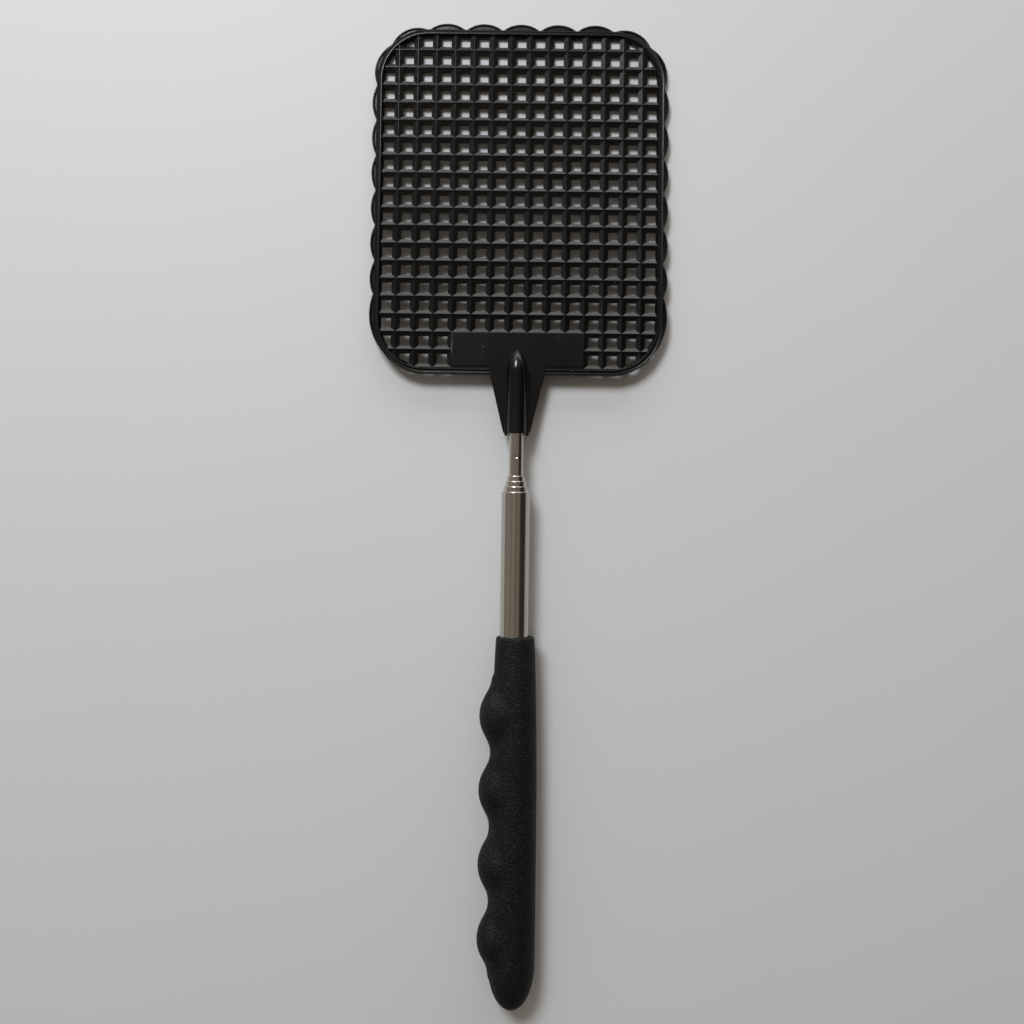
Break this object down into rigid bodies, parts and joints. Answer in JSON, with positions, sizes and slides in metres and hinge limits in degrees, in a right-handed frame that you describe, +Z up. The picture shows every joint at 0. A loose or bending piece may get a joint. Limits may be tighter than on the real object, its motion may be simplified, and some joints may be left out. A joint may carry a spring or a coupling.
{
  "type": "fly swatter",
  "caption": "Telescopic fly swatter with a scalloped square-grid plastic blade, a nested steel pole and a soft finger grip.",
  "frame": {"origin": "on the resting surface under the pole axis, halfway along the closed length", "axes": "+Y from the grip to the blade, +X to the right, +Z up out of the blade's front face"},
  "size_m": [0.1038, 0.3425, 0.0162],
  "materials": {
    "grip_rubber": "matte black with a fine pebble grain",
    "polished_steel": "polished, with faint lengthwise draw marks",
    "head_plastic": "semi-gloss moulded black",
    "plug_plastic": "matte black",
    "collar_brass": "satin",
    "shim_bronze": "satin"
  },
  "bodies": {
    "handle": {"grip": "grip_rubber", "outer_tube": "polished_steel", "tube_end_plug": "plug_plastic"},
    "shims_4": {"friction_shim_4_left": "shim_bronze", "friction_shim_4_right": "shim_bronze"},
    "section_4": {"tube_4": "polished_steel", "stop_collar_4": "collar_brass"},
    "shims_3": {"friction_shim_3_left": "shim_bronze", "friction_shim_3_right": "shim_bronze"},
    "section_3": {"tube_3": "polished_steel", "stop_collar_3": "collar_brass"},
    "shims_2": {"friction_shim_2_left": "shim_bronze", "friction_shim_2_right": "shim_bronze"},
    "section_2": {"tube_2": "polished_steel", "stop_collar_2": "collar_brass"},
    "shims_1": {"friction_shim_1_left": "shim_bronze", "friction_shim_1_right": "shim_bronze"},
    "blade_section": {"tip_tube": "polished_steel", "stop_collar_1": "collar_brass", "swatter_head": "head_plastic"}
  },
  "joints": [
    {"name": "slide_4", "type": "slide", "parent": "handle", "child": "shims_4", "axis": [0, 1, 0], "range_m": [0, 0.0934]},
    {"name": "turn_4", "type": "hinge", "parent": "shims_4", "child": "section_4", "pos_m": [0, 0, 0.0081], "axis": [0, 1, 0], "continuous": true},
    {"name": "slide_3", "type": "slide", "parent": "section_4", "child": "shims_3", "axis": [0, 1, 0], "range_m": [0, 0.0953]},
    {"name": "turn_3", "type": "hinge", "parent": "shims_3", "child": "section_3", "pos_m": [0, 0, 0.0081], "axis": [0, 1, 0], "continuous": true},
    {"name": "slide_2", "type": "slide", "parent": "section_3", "child": "shims_2", "axis": [0, 1, 0], "range_m": [0, 0.0971]},
    {"name": "turn_2", "type": "hinge", "parent": "shims_2", "child": "section_2", "pos_m": [0, 0, 0.0081], "axis": [0, 1, 0], "continuous": true},
    {"name": "slide_1", "type": "slide", "parent": "section_2", "child": "shims_1", "axis": [0, 1, 0], "range_m": [0, 0.099]},
    {"name": "turn_1", "type": "hinge", "parent": "shims_1", "child": "blade_section", "pos_m": [0, 0, 0.0081], "axis": [0, 1, 0], "continuous": true}
  ]
}
